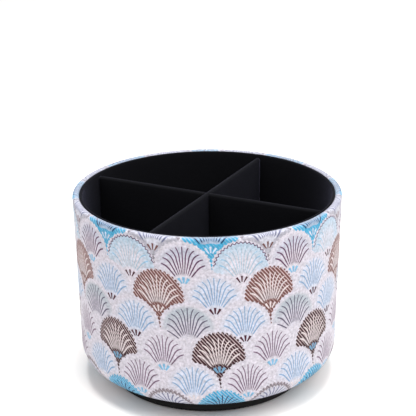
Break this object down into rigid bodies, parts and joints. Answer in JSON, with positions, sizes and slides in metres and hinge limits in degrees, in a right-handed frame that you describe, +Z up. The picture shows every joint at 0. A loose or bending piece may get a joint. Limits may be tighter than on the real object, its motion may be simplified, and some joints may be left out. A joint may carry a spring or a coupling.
{
  "type": "rotating pen holder",
  "caption": "Round desk cup in printed leatherette, velvet inside and split by crossing dividers, that spins on a low ball-bearing foot to hold pens and remote controls.",
  "frame": {"origin": "centre of the foot on the desk, on the axis the cup turns about", "axes": "+Z up along the spin axis, +X and +Y along the two dividers"},
  "size_m": [0.165, 0.1649, 0.12],
  "materials": {
    "leatherette": "fine grain, printed with fans on a pale ground, satin",
    "cup_plastic": "moulded, matt",
    "velvet": "short black pile",
    "board": "plain grey board",
    "turntable_plastic": "black, satin",
    "nylon": "natural nylon",
    "steel": "zinc plated",
    "ball_steel": "polished",
    "insert_brass": "turned",
    "pad_rubber": "matt"
  },
  "bodies": {
    "base": {"base_foot": "turntable_plastic", "foot_pads": "pad_rubber", "pivot_bush": "nylon", "pivot_washer": "steel"},
    "ball_ring": {"ball_cage": "nylon", "bearing_balls": "ball_steel"},
    "cup": {"top_plate": "turntable_plastic", "plate_screws": "steel", "pivot_screw": "steel", "boss_insert": "insert_brass", "cup_shell": "cup_plastic", "outer_wrap": "leatherette", "lining_card": "board", "lining_velvet": "velvet", "floor_card": "board", "floor_velvet": "velvet", "through_divider_board": "board", "through_divider_velvet": "velvet", "notched_divider_board": "board", "notched_divider_velvet": "velvet"}
  },
  "joints": [
    {"name": "cup_spin", "type": "hinge", "parent": "base", "child": "cup", "pos_m": [0, 0, 0], "axis": [0, 0, 1], "continuous": true},
    {"name": "ball_ring_spin", "type": "hinge", "parent": "base", "child": "ball_ring", "pos_m": [0, 0, 0], "axis": [0, 0, 1], "continuous": true}
  ],
  "couplings": [
    {"joint": "ball_ring_spin", "follows": "cup_spin", "ratio": 0.5}
  ]
}
